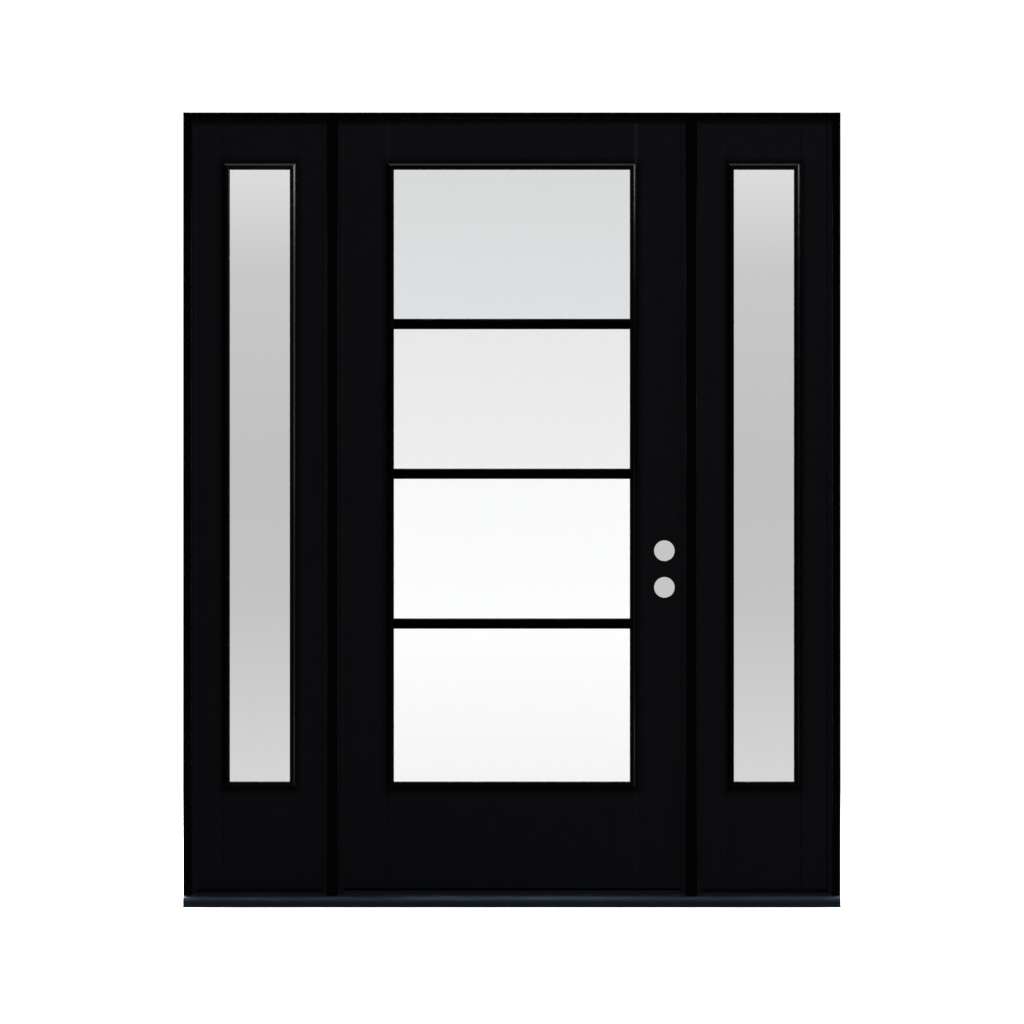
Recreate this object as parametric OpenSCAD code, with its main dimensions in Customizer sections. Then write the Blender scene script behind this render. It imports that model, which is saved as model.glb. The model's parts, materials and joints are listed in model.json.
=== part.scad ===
// Front door unit with a sidelight on each side, drawn at its real size.
// A frame of jambs and mullions stands on a metal-decked sill. The middle bay holds a door
// that opens inwards on three hinges at the left, and each side bay holds a fixed slab.
// X runs across the unit, Y from outside to inside, and Z up.
// The origin is the middle of the sill's underside, half way through the depth of the jambs.

/* [Bays] */
// Clear width between the mullions, where the door hangs
door_bay_w = 909; // [800:1:1070]
// Clear width of each sidelight bay
light_bay_w = 354; // [320:1:460]
// Clear height from the front edge of the deck to the head jamb
bay_h = 2030; // [1900:1:2400]

/* [Frame] */
// Depth of the jambs from outside to inside
jamb_d = 116; // [112:1:170]
// Thickness of the two side jambs
side_jamb_t = 21; // [18:0.5:32]
// Thickness of the two mullions
mullion_t = 29; // [24:0.5:50]
// Thickness of the head jamb
head_jamb_t = 15; // [12:0.5:32]
// Depth of the housings that hold the ends of the head jamb
head_housing = 6; // [3:0.5:10]
// Chamfer on the long edges of jambs, mullions and head
jamb_ease = 1.5; // [0.5:0.1:3]
// How far the stops stand in from the jambs
stop_w = 12.5; // [9:0.5:16]
// How far the front of the stops lies behind the front of the jambs
stop_setback = 34; // [20:1:45]
// Bevel along the front edge of the stops
stop_bevel = 1; // [0.5:0.5:5]

/* [Sill] */
// Height of the deck at the front of the jambs, and of the seat behind the deck
sill_h = 31; // [26:0.5:40]
// How far the rounded nose stands out past the jambs
nose_reach = 25; // [15:1:50]
// Height of the upright front of the nose
nose_face_h = 9; // [5:0.5:14]
// Rise of the deck from the front of the jambs to its back edge
deck_rise = 5; // [3:0.5:6.5]
// Thickness of the metal of the deck
deck_t = 2; // [1.5:0.1:2.5]
// Number of grooves along the deck
groove_count = 5; // [2:1:6]
// Width of the grooves
groove_w = 2; // [1:0.1:3]
// Depth of the grooves
groove_d = 0.7; // [0.3:0.1:1]
// Height of the threshold cap above its seat
cap_h = 9.5; // [8:0.5:12]

/* [Slabs] */
// Thickness of the door and of the fixed slabs
slab_t = 44.5; // [40:0.5:57]
// Height of the lower edges of the slabs above the seat of the sill
slab_lift = 16; // [14:0.5:24]
// Gap between the door and the frame at the sides and the top
door_gap = 5; // [5:0.5:6]
// Width of the door's stiles
door_stile_w = 124; // [105:1:160]
// Width of the stiles of the fixed slabs
light_stile_w = 82; // [60:1:100]
// Height of the door's top rail
top_rail_w = 110.5; // [90:0.5:160]
// Height of all the bottom rails
bottom_rail_w = 262.5; // [180:0.5:320]
// Chamfer on the edges of stiles and rails, which makes the seams
seam_ease = 0.8; // [0.4:0.1:1.5]
// How much the outside face of the door is narrower at the lock edge
lock_bevel = 2.3; // [0.5:0.1:3]

/* [Glazing] */
// Thickness of the sealed glass units
glass_t = 19; // [16:0.5:24]
// Thickness of each of the two panes in a unit
pane_t = 4; // [3:0.5:6]
// Width of the spacer between the panes, in from their edges
spacer_w = 10; // [6:0.5:12]
// Room between the edge of the glass and the slab
glass_play = 3; // [1:0.5:6]
// Width of the mouldings that hold the glass
moulding_w = 15.5; // [13:0.5:25]
// How far the mouldings stand proud of the slab
moulding_proud = 6; // [4:0.5:10]
// Height of the upright step at the mouldings' outer edge
moulding_step = 1.5; // [0.5:0.1:3]
// Width of the mouldings' sloped outer part
moulding_slope_w = 8; // [4:0.5:10]
// Radius of the rounding at the mouldings' inner edge
moulding_round = 1.5; // [0.5:0.1:2.5]
// Width of the bars across the door's glass
bar_w = 27; // [18:1:40]
// Height of the bars above the glass
bar_h = 7; // [4:0.5:8]
// Bevel along the edges of the bars
bar_bevel = 3; // [1:0.5:3.5]
// Number of bars across the door's glass
bar_count = 3; // [1:1:3]
// Distance from the top of the clear glass to the middle of the first bar
first_bar_drop = 405; // [250:0.5:420]
// Distance between the middles of neighbouring bars
bar_pitch = 392.5; // [250:0.5:420]

/* [Lock holes] */
// Radius of the two holes through the lock stile
bore_r = 27; // [20:0.5:29]
// Distance from the lock edge of the door to the middle of the holes
bore_backset = 50; // [46:0.5:70]
// Height of the latch hole above the underside of the sill
latch_z = 835; // [800:1:1000]
// Distance from the latch hole up to the bolt hole
bolt_rise = 96; // [80:1:140]
// Radius of the holes from the lock edge, and of those that face them in the mullion
edge_hole_r = 12.5; // [10:0.1:12.7]
// Height of the recess for a lock's face plate
plate_h = 57; // [50:1:64]
// Width of the recess
plate_w = 26; // [25.6:0.1:30]
// Depth of the recess
plate_t = 3; // [1:0.1:4]
// Radius of the recess's corners
plate_r = 6; // [2:0.5:9]

/* [Hinges] */
// Height of each hinge
hinge_h = 102; // [90:1:115]
// Width of the part of each leaf that is let into the edge
leaf_w = 38; // [30:1:39]
// Thickness of the leaves
leaf_t = 2.5; // [2:0.1:3]
// Radius of the leaves' corners
leaf_corner_r = 6.5; // [3:0.5:16]
// Radius of the knuckles
knuckle_r = 7; // [6.5:0.1:7.4]
// Radius of the pins
pin_r = 4; // [3:0.1:4.5]
// Clearance of the pins in the knuckles
pin_fit = 0.05; // [0.03:0.01:0.1]
// Distance from the inside face of the slab to the middle of the pins
pin_reach = 8; // [8:0.5:10]
// Number of knuckles in each hinge
knuckle_count = 5; // [3:2:7]
// Gap between neighbouring knuckles
knuckle_gap = 0.4; // [0.3:0.1:1]
// Height of the button on each end of a pin
button_h = 3; // [2:0.5:5]
// Radius of the buttons' rims
button_rim = 1.5; // [0.5:0.1:1.9]
// Number of hinges
hinge_count = 3; // [2:1:4]
// Distance from the top of the door down to the first hinge
top_hinge_drop = 178; // [130:1:250]
// Distance from the bottom of the door up to the last hinge
bottom_hinge_rise = 279; // [180:1:350]

/* [Seals] */
// Space between the door's stops and the closed door
seal_gap = 5; // [5:0.5:8]
// Width of the seal on the door's stops
seal_w = 9; // [6:0.5:9]
// Clearance between the seals and what they close against
seal_clear = 0.5; // [0.3:0.1:0.8]
// Thickness of the sweep's plate under the door
sweep_plate_t = 2; // [1:0.1:3]
// How far the sweep lies in from the edges of the door
sweep_inset = 3; // [2:0.5:6]
// Thickness of the sweep's fins
fin_t = 2.5; // [1.5:0.1:4]
// Number of fins
fin_count = 3; // [2:1:4]

/* [Hidden] */

// Finishes
slab_black = "#16181b";
frame_black = "#0b0b0d";
deck_slate = "#33404d";
core_grey = "#2b2c2e";
glass_pale = "#d9dcdd";
hinge_black = "#1c1c1e";
seal_black = "#0a0a0a";

// Overrun of every cut past the piece that it cuts
cut = 1;
// Facets of the round pins, knuckles and holes
round_fn = 64;
// Steps in each quarter turn of a profile
arc_steps = 6;
quarter = [for (i = [0 : arc_steps]) 90 * i / arc_steps];

// The whole unit
unit_w = door_bay_w + 2 * (mullion_t + light_bay_w + side_jamb_t);
head_z = sill_h + bay_h;
unit_h = head_z + head_jamb_t;
inside_y = jamb_d / 2;
door_edge = door_bay_w / 2;
light_edge = door_edge + mullion_t;
jamb_edge = light_edge + light_bay_w;
light_x = light_edge + light_bay_w / 2;

// The slabs
slab_y = inside_y - slab_t;
slab_z = sill_h + slab_lift;
door_top = head_z - door_gap;
door_x = door_edge - door_gap;
opening_z = slab_z + bottom_rail_w;
opening_top = door_top - top_rail_w;
opening_h = opening_top - opening_z;
opening_mid_z = opening_z + opening_h / 2;
door_opening_w = 2 * (door_x - door_stile_w);
light_opening_w = light_bay_w - 2 * light_stile_w;

// The glazing, measured up from the face of the glass
rebate_d = (slab_t - glass_t) / 2;
crest_z = rebate_d + moulding_proud;
slope_rise = moulding_proud - moulding_step;

// The sill, its back edge and its nose
nose_y = -inside_y - nose_reach;
seat_y = slab_y - seal_gap;
cap_round = cap_h - deck_rise;

// The lock holes
lock_y = slab_y + slab_t / 2;
lock_zs = [latch_z, latch_z + bolt_rise];
bore_x = door_x - bore_backset;

// The hinges
pin_x = -door_edge + door_gap / 2;
pin_y = inside_y + pin_reach;
knuckle_h = (hinge_h - (knuckle_count - 1) * knuckle_gap) / knuckle_count;
top_hinge_z = door_top - top_hinge_drop - hinge_h / 2;
bottom_hinge_z = slab_z + bottom_hinge_rise + hinge_h / 2;
hinge_pitch = (top_hinge_z - bottom_hinge_z) / (hinge_count - 1);
hinge_zs = [for (i = [0 : hinge_count - 1]) top_hinge_z - i * hinge_pitch];

// A section drawn as points [Y, Z], run along X from x0 to x1
module along_x(x0, x1, section) {
    translate([x0, 0, 0]) rotate([90, 0, 90]) linear_extrude(x1 - x0) polygon(section);
}

// Sill

// The top of the sill from its nose to the back edge of the deck, sunk by a thickness t
function deck_line(t) = concat(
    [[nose_y + t, 0]],
    [for (a = quarter) [
        -inside_y - (nose_reach - t) * cos(a),
        nose_face_h + (sill_h - t - nose_face_h) * sin(a)]],
    [[seat_y - t, sill_h + deck_rise - t]]
);
function reversed(points) = [for (i = [len(points) - 1 : -1 : 0]) points[i]];

module sill_core() {
    color(core_grey) along_x(-unit_w / 2, unit_w / 2, concat(
        deck_line(deck_t),
        [[seat_y - deck_t, sill_h], [inside_y, sill_h], [inside_y, 0]]
    ));
}

// The height of the deck at y, and the place of its grooves
function deck_z(y) = sill_h + deck_rise * (y + inside_y) / (seat_y + inside_y);
groove_pitch = (seat_y + inside_y) / (groove_count + 1);
groove_ys = [for (i = [1 : groove_count]) -inside_y + i * groove_pitch];

module sill_deck() {
    color(deck_slate) difference() {
        along_x(-unit_w / 2, unit_w / 2, concat(
            deck_line(0),
            [[seat_y, sill_h], [seat_y - deck_t, sill_h]],
            reversed(deck_line(deck_t))
        ));
        for (y = groove_ys) along_x(-unit_w / 2 - cut, unit_w / 2 + cut, [
            [y, deck_z(y) - groove_d], [y + groove_w, deck_z(y + groove_w) - groove_d],
            [y + groove_w, deck_z(y) + cut], [y, deck_z(y) + cut]
        ]);
    }
}

// What the sill takes from the foot of a piece that stands on it, with the seat raised by rise
module sill_cope(rise) {
    along_x(-unit_w / 2 - cut, unit_w / 2 + cut, [
        [-inside_y - cut, sill_h - 3 * stop_w],
        [-inside_y - cut, sill_h],
        [-inside_y, sill_h],
        [seat_y, sill_h + deck_rise],
        [seat_y, sill_h + rise],
        [inside_y + cut, sill_h + rise],
        [inside_y + cut, sill_h - 3 * stop_w]
    ]);
}

module threshold_cap() {
    r = cap_round;
    color(core_grey) along_x(-door_edge, door_edge, concat(
        [[seat_y, sill_h]],
        [for (a = quarter) [seat_y + r - r * cos(a), sill_h + deck_rise + r * sin(a)]],
        [for (a = quarter) [inside_y - r + r * sin(a), sill_h + deck_rise + r * cos(a)]],
        [[inside_y, sill_h]]
    ));
}

module light_base(side) {
    x0 = side < 0 ? -jamb_edge : light_edge;
    color(core_grey) translate([x0, seat_y, sill_h])
        cube([light_bay_w, inside_y - seat_y, slab_lift]);
}
module left_light_base() { light_base(-1); }
module right_light_base() { light_base(1); }

// Frame

// A rectangle in plan with its four corners eased
function eased_plan(x0, x1, y0, y1, e) = [
    [x0 + e, y0], [x1 - e, y0], [x1, y0 + e], [x1, y1 - e],
    [x1 - e, y1], [x0 + e, y1], [x0, y1 - e], [x0, y0 + e]
];

// An upright of the frame, coped over the sill
module upright(x0, x1, top) {
    difference() {
        translate([0, 0, sill_h]) linear_extrude(top - sill_h)
            polygon(eased_plan(x0, x1, -inside_y, inside_y, jamb_ease));
        sill_cope(0);
    }
}

// The housings of both side jambs in one run, open at the top
module head_room() {
    x = jamb_edge + head_housing;
    translate([-x, -inside_y - cut, head_z])
        cube([2 * x, jamb_d + 2 * cut, head_jamb_t + cut]);
}

module left_jamb() {
    color(frame_black) difference() {
        upright(-unit_w / 2, -jamb_edge, unit_h);
        head_room();
    }
}
module right_jamb() {
    color(frame_black) difference() {
        upright(jamb_edge, unit_w / 2, unit_h);
        head_room();
    }
}

// The head, with the same eased edges along it as the uprights have
module head_jamb() {
    x = jamb_edge + head_housing;
    e = jamb_ease;
    color(frame_black) along_x(-x, x, [
        [-inside_y, head_z + e], [-inside_y + e, head_z],
        [inside_y - e, head_z], [inside_y, head_z + e],
        [inside_y, unit_h - e], [inside_y - e, unit_h],
        [-inside_y + e, unit_h], [-inside_y, unit_h - e]
    ]);
}

module left_mullion() {
    color(frame_black) difference() {
        upright(-light_edge, -door_edge, head_z);
        for (z = hinge_zs) along_x(-door_edge - leaf_t, -door_edge + cut, leaf_outline(z, cut));
    }
}
module right_mullion() {
    color(frame_black) difference() {
        upright(door_edge, light_edge, head_z);
        for (z = lock_zs) {
            plate_recess(door_edge + plate_t, -plate_t - cut, z);
            edge_hole(door_edge - cut, mullion_t + 2 * cut, z);
        }
    }
}

// A recess for a face plate, from its floor at x over the length given, and a hole along X
module plate_recess(x, length, z) {
    h = plate_h / 2 - plate_r;
    w = plate_w / 2 - plate_r;
    translate([min(x, x + length), lock_y, z]) rotate([90, 0, 90]) linear_extrude(abs(length))
        polygon(concat(
            [for (a = quarter) [w + plate_r * cos(a), h + plate_r * sin(a)]],
            [for (a = quarter) [-w - plate_r * sin(a), h + plate_r * cos(a)]],
            [for (a = quarter) [-w - plate_r * cos(a), -h - plate_r * sin(a)]],
            [for (a = quarter) [w + plate_r * sin(a), -h - plate_r * cos(a)]]
        ));
}
module edge_hole(x, length, z) {
    translate([x, lock_y, z]) rotate([0, 90, 0])
        cylinder(r = edge_hole_r, h = length, $fn = round_fn);
}

// Mitred work

// Sides of a w by h rectangle centred on the origin, each one a section that is mitred at its
// ends. A section's first value runs in from the edge and its second stands up from the plane.
// Side 0 is the lower one, and the rest follow anticlockwise.
module mitred(w, h, section, sides) {
    deep = max([for (p = section) p[0]]) + cut;
    tall = max([for (p = section) p[1]]) + cut;
    for (s = sides) {
        run = s % 2 == 0 ? w / 2 : h / 2;
        off = s % 2 == 0 ? h / 2 : w / 2;
        rotate([0, 0, 90 * s]) intersection() {
            translate([0, -off, 0]) along_x(-run - cut, run + cut, section);
            translate([0, 0, -cut]) linear_extrude(tall + cut) polygon([
                [-run - cut, -off - cut], [run + cut, -off - cut],
                [run - deep, -off + deep], [-run + deep, -off + deep]
            ]);
        }
    }
}

// Stands such work upright at height z, with its plane at y and its sections standing outwards
module facing_out(x, y, z) {
    translate([x, y, z]) rotate([90, 0, 0]) children();
}
// The same, with its sections standing inwards
module facing_in(x, y, z) {
    translate([x, y, z]) mirror([0, 1, 0]) rotate([90, 0, 0]) children();
}

// Stops and seals

U_SIDES = [1, 2, 3];
leg_h = bay_h + 2 * stop_w;
leg_mid_z = head_z - leg_h / 2;

// Stops round the sides and top of a bay, from the plane at back to the stops' front
module stops(x, w, back, rise) {
    d = back + inside_y - stop_setback;
    color(slab_black) difference() {
        facing_out(x, back, leg_mid_z) mitred(w, leg_h, [
            [0, 0], [stop_w, 0], [stop_w, d - stop_bevel], [stop_w - stop_bevel, d], [0, d]
        ], U_SIDES);
        sill_cope(rise);
    }
}
module door_stops() { stops(0, door_bay_w, seat_y, 0); }
module left_light_stops() { stops(-light_x, light_bay_w, slab_y, slab_lift); }
module right_light_stops() { stops(light_x, light_bay_w, slab_y, slab_lift); }

module door_seal() {
    t = seal_gap - seal_clear;
    color(seal_black) difference() {
        facing_in(0, seat_y, leg_mid_z) mitred(door_bay_w, leg_h, concat(
            [for (a = quarter) [stop_w / 2 + seal_w / 2 * cos(a), t * sin(a)]],
            [for (a = quarter) [stop_w / 2 - seal_w / 2 * sin(a), t * cos(a)]]
        ), U_SIDES);
        sill_cope(cap_h);
    }
}

module door_sweep() {
    low = sill_h + cap_h + seal_clear;
    y0 = slab_y + sweep_inset;
    w = slab_t - 2 * sweep_inset;
    x0 = -door_x + sweep_inset;
    x1 = door_x - lock_bevel - sweep_inset;
    color(seal_black) {
        translate([x0, y0, slab_z - sweep_plate_t]) cube([x1 - x0, w, sweep_plate_t]);
        for (i = [0 : fin_count - 1])
            translate([x0, y0 + i * (w - fin_t) / (fin_count - 1), low])
                cube([x1 - x0, fin_t, slab_z - low]);
    }
}

// Hinges

// The part of a leaf that is let in, as points [Y, Z], run past the inside face by over
function leaf_outline(z, over) = let (
    r = leaf_corner_r,
    y = inside_y - leaf_w,
    h = hinge_h / 2
) concat(
    [[inside_y + over, z - h], [inside_y + over, z + h]],
    [for (a = quarter) [y + r - r * sin(a), z + h - r + r * cos(a)]],
    [for (a = quarter) [y + r - r * cos(a), z - h + r - r * sin(a)]]
);

// A leaf whose let-in part starts at x0, with every second knuckle from the one named first
module leaf(x0, z, first) {
    foot = z - hinge_h / 2;
    color(hinge_black) difference() {
        union() {
            along_x(x0, x0 + leaf_t, leaf_outline(z, 0));
            for (i = [first : 2 : knuckle_count - 1]) translate([0, 0, foot + i * (knuckle_h + knuckle_gap)]) {
                translate([x0, inside_y - leaf_t, 0]) cube([leaf_t, pin_reach + leaf_t, knuckle_h]);
                translate([pin_x, pin_y, 0]) cylinder(r = knuckle_r, h = knuckle_h, $fn = round_fn);
            }
        }
        translate([pin_x, pin_y, foot - cut])
            cylinder(r = pin_r + pin_fit, h = hinge_h + 2 * cut, $fn = round_fn);
    }
}
module frame_leaf(i) { leaf(-door_edge - leaf_t, hinge_zs[i], 0); }
module door_leaf(i) { leaf(-door_x, hinge_zs[i], 1); }
module top_hinge_frame_leaf() { frame_leaf(0); }
module middle_hinge_frame_leaf() { frame_leaf(1); }
module bottom_hinge_frame_leaf() { frame_leaf(hinge_count - 1); }
module top_hinge_door_leaf() { door_leaf(0); }
module middle_hinge_door_leaf() { door_leaf(1); }
module bottom_hinge_door_leaf() { door_leaf(hinge_count - 1); }

// A pin with a button at each end, which has a rounded rim
module hinge_pins() {
    r = knuckle_r - button_rim;
    low = button_rim - button_h;
    high = hinge_h + button_h - button_rim;
    color(hinge_black) for (z = hinge_zs) translate([pin_x, pin_y, z - hinge_h / 2])
        rotate_extrude($fn = round_fn) polygon(concat(
            [[0, -button_h]],
            [for (a = quarter) [r + button_rim * sin(a), low - button_rim * cos(a)]],
            [[knuckle_r, 0], [pin_r, 0], [pin_r, hinge_h], [knuckle_r, hinge_h]],
            [for (a = quarter) [r + button_rim * cos(a), high + button_rim * sin(a)]],
            [[0, hinge_h + button_h]]
        ));
}

// Slabs

// A stile or rail between x0 and x1, from z0 to z1, with eased edges that make the seams
module board(x0, x1, z0, z1) {
    translate([0, 0, z0]) linear_extrude(z1 - z0)
        polygon(eased_plan(x0, x1, slab_y, inside_y, seam_ease));
}

module light_board(side, x0, x1, z0, z1) {
    color(slab_black) translate([side * light_x, 0, 0]) board(x0, x1, z0, z1);
}
light_half = light_bay_w / 2;
light_open_half = light_opening_w / 2;
module light_left_stile(side) { light_board(side, -light_half, -light_open_half, slab_z, head_z); }
module light_right_stile(side) { light_board(side, light_open_half, light_half, slab_z, head_z); }
module light_top_rail(side) {
    light_board(side, -light_open_half, light_open_half, opening_top, head_z);
}
module light_bottom_rail(side) {
    light_board(side, -light_open_half, light_open_half, slab_z, opening_z);
}
module left_light_outer_stile() { light_left_stile(-1); }
module left_light_inner_stile() { light_right_stile(-1); }
module left_light_top_rail() { light_top_rail(-1); }
module left_light_bottom_rail() { light_bottom_rail(-1); }
module right_light_outer_stile() { light_right_stile(1); }
module right_light_inner_stile() { light_left_stile(1); }
module right_light_top_rail() { light_top_rail(1); }
module right_light_bottom_rail() { light_bottom_rail(1); }

module door_hinge_stile() {
    color(slab_black) difference() {
        board(-door_x, -door_x + door_stile_w, slab_z, door_top);
        for (z = hinge_zs) along_x(-door_x - cut, -door_x + leaf_t, leaf_outline(z, cut));
    }
}

// The lock edge leans back towards the outside face, so that it clears the frame as it opens
module door_lock_stile() {
    x0 = door_x - door_stile_w;
    e = seam_ease;
    color(slab_black) difference() {
        translate([0, 0, slab_z]) linear_extrude(door_top - slab_z) polygon([
            [x0 + e, slab_y], [door_x - lock_bevel - e, slab_y], [door_x - lock_bevel, slab_y + e],
            [door_x, inside_y - e], [door_x - e, inside_y], [x0 + e, inside_y],
            [x0, inside_y - e], [x0, slab_y + e]
        ]);
        for (z = lock_zs) {
            translate([bore_x, slab_y - cut, z]) rotate([-90, 0, 0])
                cylinder(r = bore_r, h = slab_t + 2 * cut, $fn = round_fn);
            edge_hole(bore_x, bore_backset + cut, z);
            plate_recess(door_x - lock_bevel / 2 - plate_t, plate_t + lock_bevel + cut, z);
        }
    }
}
module door_top_rail() {
    w = door_opening_w / 2;
    color(slab_black) board(-w, w, opening_top, door_top);
}
module door_bottom_rail() {
    w = door_opening_w / 2;
    color(slab_black) board(-w, w, slab_z, opening_z);
}

// Glazing

// A raised moulding: a step up from the slab, a swelling slope to a flat crest, and a rounded
// inner edge that drops straight to the glass
moulding_section = concat(
    [[0, 0]],
    [for (a = quarter) [
        moulding_slope_w * a / quarter[arc_steps],
        rebate_d + moulding_step + slope_rise * sin(a)]],
    [for (a = quarter) [
        moulding_w - moulding_round + moulding_round * sin(a),
        crest_z - moulding_round + moulding_round * cos(a)]],
    [[moulding_w, 0]]
);
FOUR_SIDES = [0, 1, 2, 3];

module outside_moulding(x, w) {
    color(slab_black) facing_out(x, slab_y + rebate_d, opening_mid_z)
        mitred(w, opening_h, moulding_section, FOUR_SIDES);
}
module inside_moulding(x, w) {
    color(slab_black) facing_in(x, inside_y - rebate_d, opening_mid_z)
        mitred(w, opening_h, moulding_section, FOUR_SIDES);
}
module left_light_outside_moulding() { outside_moulding(-light_x, light_opening_w); }
module left_light_inside_moulding() { inside_moulding(-light_x, light_opening_w); }
module right_light_outside_moulding() { outside_moulding(light_x, light_opening_w); }
module right_light_inside_moulding() { inside_moulding(light_x, light_opening_w); }
module door_outside_moulding() { outside_moulding(0, door_opening_w); }
module door_inside_moulding() { inside_moulding(0, door_opening_w); }

// A sealed glass unit that the two mouldings hold between them: two panes with a spacer round
// their edges and a closed space inside
module glass_unit(x, w) {
    gw = w - 2 * glass_play;
    gh = opening_h - 2 * glass_play;
    color(glass_pale) translate([x - gw / 2, slab_y + rebate_d, opening_z + glass_play])
        difference() {
            cube([gw, glass_t, gh]);
            translate([spacer_w, pane_t, spacer_w])
                cube([gw - 2 * spacer_w, glass_t - 2 * pane_t, gh - 2 * spacer_w]);
        }
}
module left_light_glass() { glass_unit(-light_x, light_opening_w); }
module right_light_glass() { glass_unit(light_x, light_opening_w); }
module door_glass() { glass_unit(0, door_opening_w); }

// Bars on one face of the door's glass, drawn as the mouldings are
module bars() {
    half = door_opening_w / 2 - moulding_w;
    top = opening_h / 2 - moulding_w;
    h = bar_w / 2;
    for (i = [0 : bar_count - 1])
        translate([0, top - first_bar_drop - i * bar_pitch, 0]) along_x(-half, half, [
            [-h, 0], [h, 0], [h, bar_h - bar_bevel], [h - bar_bevel, bar_h],
            [-h + bar_bevel, bar_h], [-h, bar_h - bar_bevel]
        ]);
}
module door_outside_bars() {
    color(slab_black) facing_out(0, slab_y + rebate_d, opening_mid_z) bars();
}
module door_inside_bars() {
    color(slab_black) facing_in(0, inside_y - rebate_d, opening_mid_z) bars();
}

sill_core();
sill_deck();
threshold_cap();
left_light_base();
right_light_base();
left_jamb();
right_jamb();
head_jamb();
left_mullion();
right_mullion();
door_stops();
left_light_stops();
right_light_stops();
door_seal();
top_hinge_frame_leaf();
middle_hinge_frame_leaf();
bottom_hinge_frame_leaf();
top_hinge_door_leaf();
middle_hinge_door_leaf();
bottom_hinge_door_leaf();
hinge_pins();
left_light_outer_stile();
left_light_inner_stile();
left_light_top_rail();
left_light_bottom_rail();
left_light_glass();
left_light_outside_moulding();
left_light_inside_moulding();
right_light_outer_stile();
right_light_inner_stile();
right_light_top_rail();
right_light_bottom_rail();
right_light_glass();
right_light_outside_moulding();
right_light_inside_moulding();
door_hinge_stile();
door_lock_stile();
door_top_rail();
door_bottom_rail();
door_glass();
door_outside_moulding();
door_inside_moulding();
door_outside_bars();
door_inside_bars();
door_sweep();
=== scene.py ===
# %% [markdown]
# # A front door with a sidelight on each side
#
# The real thing is a door unit as it leaves the workshop: a black frame on a metal-decked sill, a
# door with one large light in the middle, and a fixed slab with a narrow light on each side.
# The solids come from the CAD model, so this lesson doesn't model the frame again. It gives every
# solid its finish, builds what is too fine for the solids, and sets up camera, backdrop and lights.

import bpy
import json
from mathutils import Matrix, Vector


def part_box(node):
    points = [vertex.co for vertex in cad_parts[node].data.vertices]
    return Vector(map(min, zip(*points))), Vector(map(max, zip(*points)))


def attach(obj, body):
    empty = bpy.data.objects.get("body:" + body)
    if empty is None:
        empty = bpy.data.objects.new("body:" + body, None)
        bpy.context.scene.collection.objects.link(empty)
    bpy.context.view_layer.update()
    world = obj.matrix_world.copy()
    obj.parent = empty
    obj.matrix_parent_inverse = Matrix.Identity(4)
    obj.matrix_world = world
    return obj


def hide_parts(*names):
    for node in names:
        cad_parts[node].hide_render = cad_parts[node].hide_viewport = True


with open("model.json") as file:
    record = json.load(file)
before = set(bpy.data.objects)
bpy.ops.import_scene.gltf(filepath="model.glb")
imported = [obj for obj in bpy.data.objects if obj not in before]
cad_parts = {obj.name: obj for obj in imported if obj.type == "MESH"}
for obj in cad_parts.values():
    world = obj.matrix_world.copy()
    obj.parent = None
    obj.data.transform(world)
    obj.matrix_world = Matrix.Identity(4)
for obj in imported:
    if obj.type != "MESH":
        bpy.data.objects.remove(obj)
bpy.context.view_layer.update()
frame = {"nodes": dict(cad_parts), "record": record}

# %% Blender's modules and one unit
import json
import math

import bpy
import bmesh
from mathutils import Vector

MM = 0.001
scene = bpy.context.scene
print("one millimetre is", MM, "Blender metres")

# %% [markdown]
# ## Camera
#
# The photograph shows the unit square on: both jambs are parallel and no side face shows. A long
# lens far away gives that view and still has a trace of perspective, where an orthographic camera
# would have none. The distance follows from the lens, so that the unit fills as much of the
# square picture as it does in the photograph.

# %% Make the camera
LENS_MM = 400
SENSOR_MM = 36
VIEW_WIDTH = 2.6785
VIEW_CENTRE = Vector((0.0003, -0.02, 1.0323))

camera_distance = VIEW_WIDTH * LENS_MM / SENSOR_MM
camera_data = bpy.data.cameras.new("square_on_view")
camera_data.lens = LENS_MM
camera_data.sensor_width = SENSOR_MM
camera_data.clip_end = 400
camera = bpy.data.objects.new("square_on_view", camera_data)
camera.location = VIEW_CENTRE - Vector((0, camera_distance, 0))
camera.rotation_euler = (math.radians(90), 0, 0)
scene.collection.objects.link(camera)
scene.camera = camera
scene.view_settings.view_transform = "Standard"
print("camera at", [round(v, 3) for v in camera.location])

# %% [markdown]
# ## A short way to write shader nodes
#
# Materials here are made of nodes only. `put` makes one node, sets its properties and fills its
# inputs: a plain value is typed in, and another node's output is wired in. Every material, group
# and the backdrop below are written with it, so they read like a list of what feeds what.

# %% Helper for nodes
def put(tree, kind, inputs=None, **settings):
    node = tree.nodes.new("ShaderNode" + kind)
    for name, value in settings.items():
        setattr(node, name, value)
    for name, value in (inputs or {}).items():
        if isinstance(value, bpy.types.NodeSocket):
            tree.links.new(value, node.inputs[name])
        else:
            node.inputs[name].default_value = value
    return node


def calc(tree, operation, *values, clamp=False):
    inputs = dict(enumerate(values))
    return put(tree, "Math", inputs, operation=operation, use_clamp=clamp).outputs[0]


def ramp(tree, factor, stops):
    node = put(tree, "ValToRGB", {"Fac": factor})
    band = node.color_ramp
    while len(band.elements) < len(stops):
        band.elements.new(1)
    for element, (place, tone) in zip(band.elements, stops):
        element.position = place
        element.color = (*tone, 1) if isinstance(tone, tuple) else (tone, tone, tone, 1)
    return node.outputs["Color"]


def blend_colours(tree, factor, first, second):
    """Sockets 6 and 7 of a Mix node are its two colours."""
    return put(tree, "Mix", {"Factor": factor, 6: first, 7: second}, data_type="RGBA").outputs[2]


def here(tree):
    return put(tree, "TexCoord").outputs["Object"]


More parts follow.
